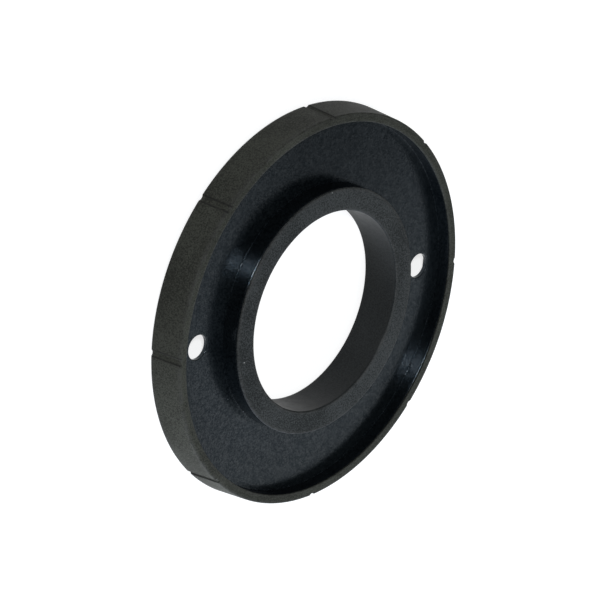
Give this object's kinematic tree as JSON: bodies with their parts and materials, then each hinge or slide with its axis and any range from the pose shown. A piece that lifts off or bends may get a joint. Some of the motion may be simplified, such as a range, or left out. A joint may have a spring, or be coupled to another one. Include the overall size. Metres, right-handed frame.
{
  "type": "toilet flange",
  "caption": "Round floor flange for a toilet: a stiff channel ring with bolt holes, a thick soft collar round the outlet bore and a soft grooved band round the rim.",
  "frame": {"origin": "centre of the flange's back, on the plane that it lies on", "axes": "+Z along the bore out of the front, +X from the centre to one bolt hole"},
  "size_m": [0.1928, 0.1928, 0.0196],
  "materials": {
    "flange_ring": "satin black moulding",
    "outlet_collar": "matt black",
    "rim_band": "matt black"
  },
  "bodies": {
    "root": {"flange_ring": "flange_ring", "outlet_collar": "outlet_collar", "rim_band": "rim_band"}
  },
  "joints": []
}
